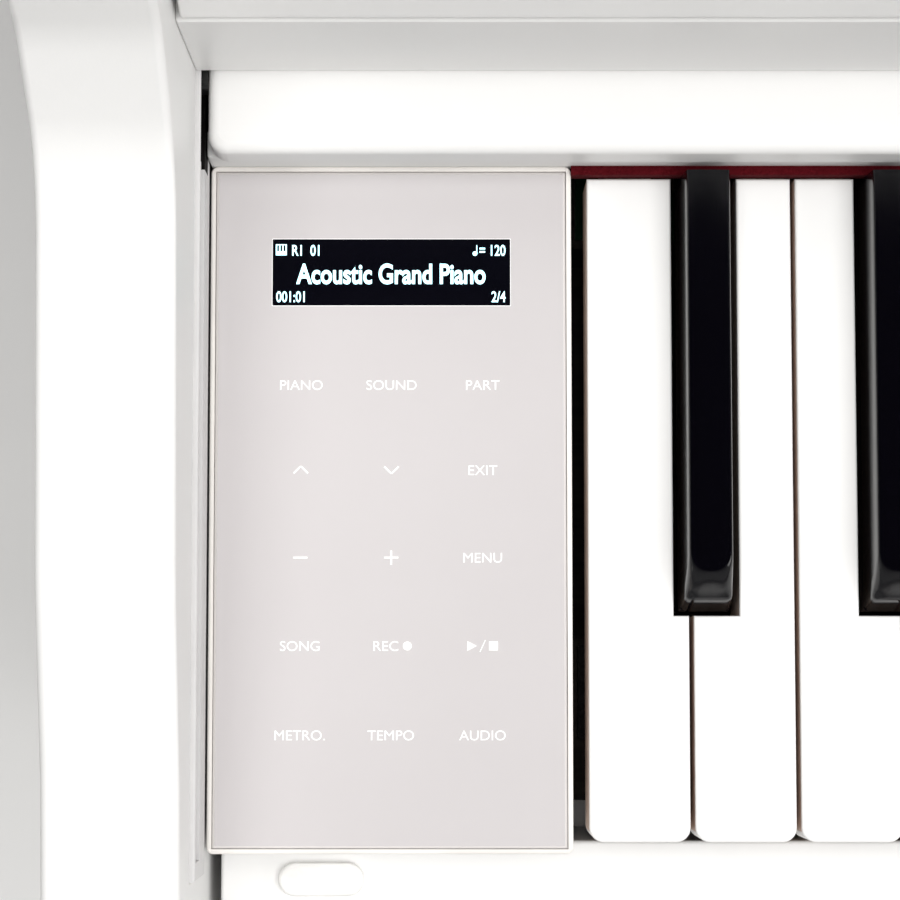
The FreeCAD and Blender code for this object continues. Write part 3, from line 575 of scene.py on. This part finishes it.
def black_key(bm, x, front, cap_back, stick_back, stick_low):
    """A black key: its cover, the base below it and the wooden stick."""
    rings = [cap_ring(bm, x, front, cap_back, level) for level in CAP]
    for low_ring, high_ring in zip(rings, rings[1:]):
        count = len(low_ring)
        for i in range(count):
            j = (i + 1) % count
            bm.faces.new((low_ring[i], low_ring[j], high_ring[j], high_ring[i]))
    bm.faces.new(rings[-1])
    bm.faces.new(list(reversed(rings[0])))
    beam(bm, x, BASE_HALF, front, cap_back, stick_low + BASE_UP, KEY_TOP - CAP_FOOT, 0.3 * MM)
    beam(bm, x, STICK_HALF, front + STICK_IN, stick_back, stick_low, KEY_TOP - STICK_DOWN, 0.5 * MM)


def islands(mesh):
    """(lowest x, highest x) of each separate solid in a CAD mesh."""
    bm = bmesh.new()
    bm.from_mesh(mesh)
    bmesh.ops.remove_doubles(bm, verts=bm.verts, dist=1e-6)
    left, spans = set(bm.verts), []
    while left:
        stack = [left.pop()]
        low_x = high_x = stack[0].co.x
        while stack:
            vert = stack.pop()
            low_x, high_x = min(low_x, vert.co.x), max(high_x, vert.co.x)
            for edge in vert.link_edges:
                other = edge.other_vert(vert)
                if other in left:
                    left.remove(other)
                    stack.append(other)
        spans.append((low_x, high_x))
    bm.free()
    return sorted(spans)


cap_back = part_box("key_felt")[0].y - 0.5 * MM
for node in ("key_A0_sharp", "key_C1_sharp", "key_D1_sharp", "black_keys"):
    node_low, node_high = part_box(node)
    bm = bmesh.new()
    for left_x, right_x in islands(frame["nodes"][node].data):
        black_key(bm, (left_x + right_x) / 2, node_low.y, cap_back, node_high.y, node_low.z)
    bmesh.ops.recalc_face_normals(bm, faces=bm.faces)
    obj = finish_bmesh(bm, node + "_shaped", node_body[node], MATERIALS["key_black"])
    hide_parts(node)

# ---------------------------------------------------------------- touch panel
FACE_Z = GLASS_HIGH.z + 0.02 * MM      # print, just over the glass
LIT_Z = FACE_Z + 0.05 * MM             # lit marks, just over the display's window

bm = slab(GLASS_LOW.x, GLASS_HIGH.x, GLASS_LOW.y, GLASS_HIGH.y, GLASS_LOW.z, GLASS_HIGH.z, 0.0)
top_edges = [e for e in bm.edges if all(abs(v.co.z - GLASS_HIGH.z) < 1e-6 for v in e.verts)]
bmesh.ops.bevel(bm, geom=top_edges, offset=GROUND, offset_type="OFFSET", segments=1, affect="EDGES")
glass = finish_bmesh(bm, "touch_glass_ground", "cabinet", MATERIALS["panel_glass"])
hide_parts("touch_glass")

# display window, with a thin pale rim all round, painted as the highlight on the window's edge
BORDER = 2.0 * MM                      # hidden border of the display module
RIM, WINDOW_CORNER = 0.16 * MM, 0.2 * MM
display_low, display_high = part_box("display_module")
left, right = display_low.x + BORDER, display_high.x - BORDER
bottom, top = display_low.y + BORDER, display_high.y - BORDER
bm = slab(left - RIM, right + RIM, bottom - RIM, top + RIM, FACE_Z, FACE_Z + 0.02 * MM, WINDOW_CORNER)
finish_bmesh(bm, "display_rim_highlight", "cabinet", PRINT)
bm = slab(left, right, bottom, top, FACE_Z, FACE_Z + 0.04 * MM, WINDOW_CORNER)
finish_bmesh(bm, "display_window", "cabinet", MATERIALS["display_dark"])

# words on the display
SMALL, BIG = 2.4 * MM, 4.4 * MM        # heights of its capitals
NARROW, NARROW_BIG = 0.74, 0.76        # widths over the typeface's own
BOLD, BOLD_BIG = 0.05 * MM, 0.16 * MM
top_line, low_line = top - 2.5 * MM, bottom + 2.0 * MM
CORNER_WORDS = (
    ("R1  01", left + 4.2 * MM, top_line, "LEFT"),
    ("= 120", right - 1.0 * MM, top_line, "RIGHT"),
    ("001:01", left + 0.8 * MM, low_line, "LEFT"),
    ("2/4", right - 1.0 * MM, low_line, "RIGHT"),
)
lit_words = [text_mesh(words, x, y, LIT_Z, SMALL, align, NARROW, BOLD)
             for words, x, y, align in CORNER_WORDS]
lit_words.append(text_mesh("Acoustic Grand Piano", (left + right) / 2, bottom + (top - bottom) * 0.48,
                           LIT_Z, BIG, "CENTER", NARROW_BIG, BOLD_BIG))
joined("display_words", lit_words, GLOW)

# keyboard sign and note sign on the display
SIGN_H, GAP_H, SIGN_TOP = 2.3 * MM, 1.4 * MM, 0.2 * MM
TOOTH, GAP, TEETH = 0.30 * MM, 0.42 * MM, 4
sign_x, sign_y = left + 0.7 * MM, top_line - 1.15 * MM
sign_end = sign_x + TEETH * TOOTH + (TEETH - 1) * GAP
marks = [bar(sign_x, sign_end, sign_y, sign_y + SIGN_H - GAP_H),
         bar(sign_x, sign_end, sign_y + SIGN_H, sign_y + SIGN_H + SIGN_TOP)]
for i in range(TEETH):
    tooth_x = sign_x + i * (TOOTH + GAP)
    marks.append(bar(tooth_x, tooth_x + TOOTH, sign_y + SIGN_H - GAP_H, sign_y + SIGN_H))
note_x, note_y, note_r = right - 7.9 * MM, sign_y + 0.4 * MM, 0.52 * MM
marks += [disc(note_x, note_y, note_r),
          bar(note_x + 0.30 * MM, note_x + note_r, note_y, sign_y + SIGN_H)]
finish_bmesh(flat_mesh(marks, LIT_Z, INK), "display_icons", "cabinet", GLOW)

# touch labels, in three columns and five rows
LABEL_H, LABEL_WIDE = 2.2 * MM, 1.04
COLUMNS = [GLASS_LOW.x + (GLASS_HIGH.x - GLASS_LOW.x) * share for share in (0.2448, 0.5023, 0.7612)]
ROWS = [GLASS_HIGH.y - down * MM for down in (48.2, 67.3, 86.8, 106.4, 126.1)]
LABELS = (
    (0, 0, "PIANO"), (1, 0, "SOUND"), (2, 0, "PART"),
    (2, 1, "EXIT"), (2, 2, "MENU"), (0, 3, "SONG"),
    (0, 4, "METRO."), (1, 4, "TEMPO"), (2, 4, "AUDIO"),
)
printed = [text_mesh(words, COLUMNS[column], ROWS[row], FACE_Z, LABEL_H, "CENTER", LABEL_WIDE)
           for column, row, words in LABELS]
printed.append(text_mesh("REC", COLUMNS[1] - 1.2 * MM, ROWS[3], FACE_Z, LABEL_H, "CENTER", LABEL_WIDE))
joined("panel_labels", printed, PRINT)

# touch signs: up, down, minus, plus, record dot, play and stop
ARM, THIN = 1.6 * MM, 0.2 * MM         # half length and half width of a sign's strokes
SLASH = 0.11 * MM                      # half width of the slash between play and stop
first, middle, last = COLUMNS
up_y, minus_y, play_y = ROWS[1], ROWS[2], ROWS[3]
icons = stroke([(first - ARM, up_y - 0.7 * MM), (first, up_y + 0.9 * MM),
                (first + ARM, up_y - 0.7 * MM)], THIN)
icons += stroke([(middle - ARM, up_y + 0.8 * MM), (middle, up_y - 0.8 * MM),
                 (middle + ARM, up_y + 0.8 * MM)], THIN)
icons += [
    bar(first - ARM, first + ARM, minus_y - THIN, minus_y + THIN),
    bar(middle - ARM, middle + ARM, minus_y - THIN, minus_y + THIN),
    bar(middle - THIN, middle + THIN, minus_y - ARM, minus_y - THIN),
    bar(middle - THIN, middle + THIN, minus_y + THIN, minus_y + ARM),
    disc(middle + 3.6 * MM, play_y, 1.0 * MM),
    [(last - 3.4 * MM, play_y - 1.1 * MM), (last - 1.3 * MM, play_y),
     (last - 3.4 * MM, play_y + 1.1 * MM)],
    bar(last + 1.4 * MM, last + 3.4 * MM, play_y - 1.0 * MM, play_y + 1.0 * MM),
]
icons += stroke([(last - 0.6 * MM, play_y - 1.3 * MM), (last + 0.6 * MM, play_y + 1.3 * MM)], SLASH)
finish_bmesh(flat_mesh(icons, FACE_Z, INK), "panel_icons", "cabinet", PRINT)

# ---------------------------------------------------------------- studio
floor_mesh = bpy.data.meshes.new("floor")
bm = bmesh.new()
bmesh.ops.create_grid(bm, x_segments=4, y_segments=4, size=14.0)
bm.to_mesh(floor_mesh)
bm.free()
floor = bpy.data.objects.new("floor", floor_mesh)
scene.collection.objects.link(floor)
g = Graph("floor_pale")
tone = g.ramp(g.noise(1.5, 2.0), [(0.3, (0.845, 0.84, 0.83)), (0.7, (0.86, 0.855, 0.845))])
floor_mesh.materials.append(g.set(base=tone, rough=0.75, specular=0.2))

world = bpy.data.worlds.new("studio")
world.use_nodes = True
tree = world.node_tree
direction = tree.nodes.new("ShaderNodeTexCoord")
height = tree.nodes.new("ShaderNodeSeparateXYZ")
shade = tree.nodes.new("ShaderNodeValToRGB")
tree.links.new(direction.outputs["Generated"], height.inputs["Vector"])
tree.links.new(height.outputs["Z"], shade.inputs["Fac"])
# Bright towards the walls and dark straight overhead, so that gloss black stays black from above.
walls, ceiling = shade.color_ramp.elements
walls.position = 0.30
walls.color = (1.0, 0.995, 0.985, 1.0)
ceiling.position = 0.85
ceiling.color = (0.02, 0.02, 0.025, 1.0)
tree.links.new(shade.outputs["Color"], tree.nodes["Background"].inputs["Color"])
tree.nodes["Background"].inputs["Strength"].default_value = 0.40
scene.world = world


def softbox(name, place, aim, size, watts, mirrored=True):
    """A large soft light. One that isn't mirrored gives no reflections."""
    light = bpy.data.lights.new(name, "AREA")
    light.shape = "RECTANGLE"
    light.size, light.size_y = size
    light.energy = watts
    light.color = (1.0, 0.995, 0.985)
    obj = bpy.data.objects.new(name, light)
    scene.collection.objects.link(obj)
    obj.location = place
    obj.rotation_euler = (Vector(aim) - Vector(place)).to_track_quat("-Z", "Y").to_euler()
    obj.visible_glossy = mirrored


softbox("top_light", (-0.2, -0.3, 3.6), (-0.1, 0.0, 0.3), (3.2, 2.2), 112.0, mirrored=False)
softbox("window_light", (2.6, -1.3, 2.6), (-0.2, 0.0, 0.6), (1.6, 1.6), 26.0)

# ---------------------------------------------------------------- camera
camera_data = bpy.data.cameras.new("camera")
camera_data.lens = 108.0
camera_data.sensor_width = 36.0
camera_data.clip_start = 0.02
camera = bpy.data.objects.new("camera", camera_data)
scene.collection.objects.link(camera)
camera.location = (-0.6413, -0.1712, 1.347)
camera.rotation_euler = (math.radians(4.96), 0.0, 0.0)
scene.camera = camera
scene.view_settings.view_transform = "Standard"
